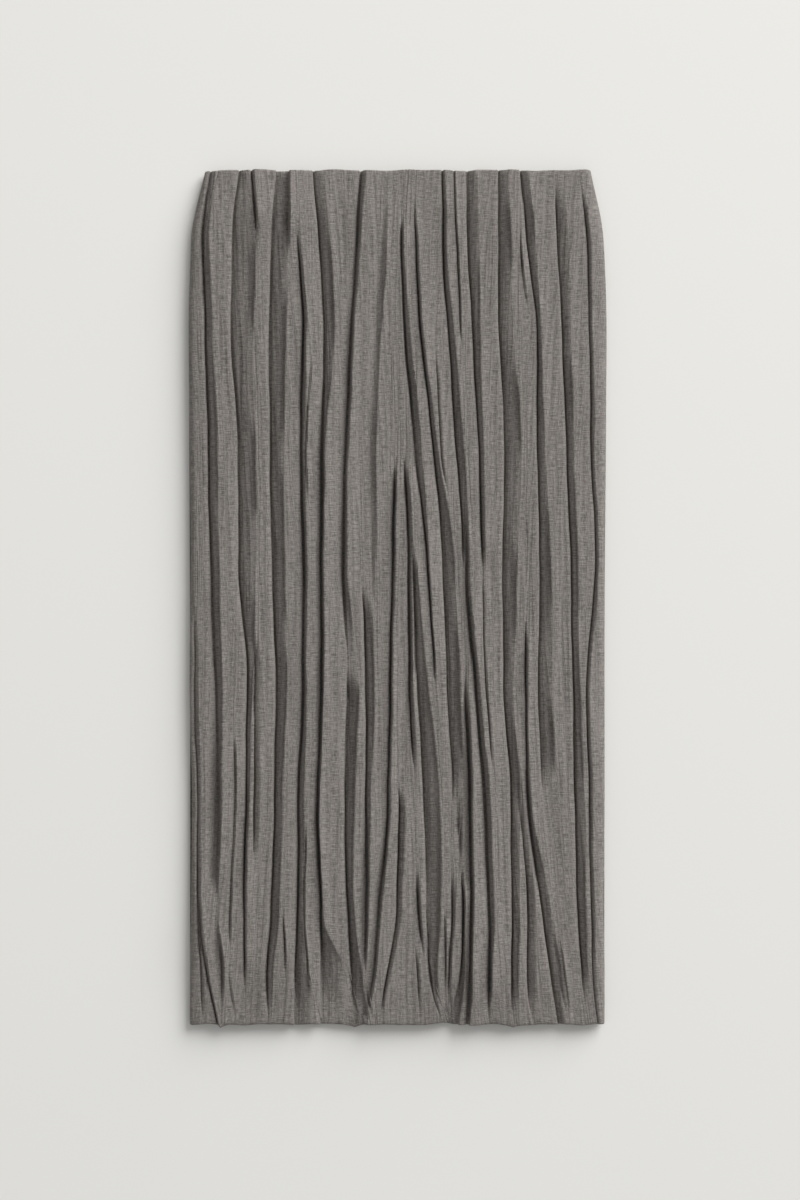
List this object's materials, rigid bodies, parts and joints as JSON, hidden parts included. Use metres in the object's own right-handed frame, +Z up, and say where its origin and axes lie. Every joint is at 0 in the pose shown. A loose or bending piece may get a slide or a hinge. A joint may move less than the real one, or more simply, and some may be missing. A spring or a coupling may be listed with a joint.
{
  "type": "pleated midi skirt",
  "caption": "Pull-on midi skirt in crinkle-pleated woven cloth, laid flat, with a turned waist casing and a turned hem.",
  "frame": {"origin": "centre of the bounding box in X and Y, on the surface the skirt lies on", "axes": "+Y along the skirt's length towards the waist, +X across its width to the right as its front is seen, +Z up, out of the front"},
  "size_m": [0.4159, 0.857, 0.0167],
  "materials": {
    "front_cloth": "matt grey melange plain weave, crinkle pleated",
    "back_cloth": "matt grey melange plain weave, crinkle pleated",
    "turned_cloth": "matt grey melange plain weave, inner side of the turned waist and hem"
  },
  "bodies": {
    "root": {"front_panel": "front_cloth", "back_panel": "back_cloth", "front_waist_casing": "turned_cloth", "back_waist_casing": "turned_cloth", "front_hem_turning": "turned_cloth", "back_hem_turning": "turned_cloth"}
  },
  "joints": []
}
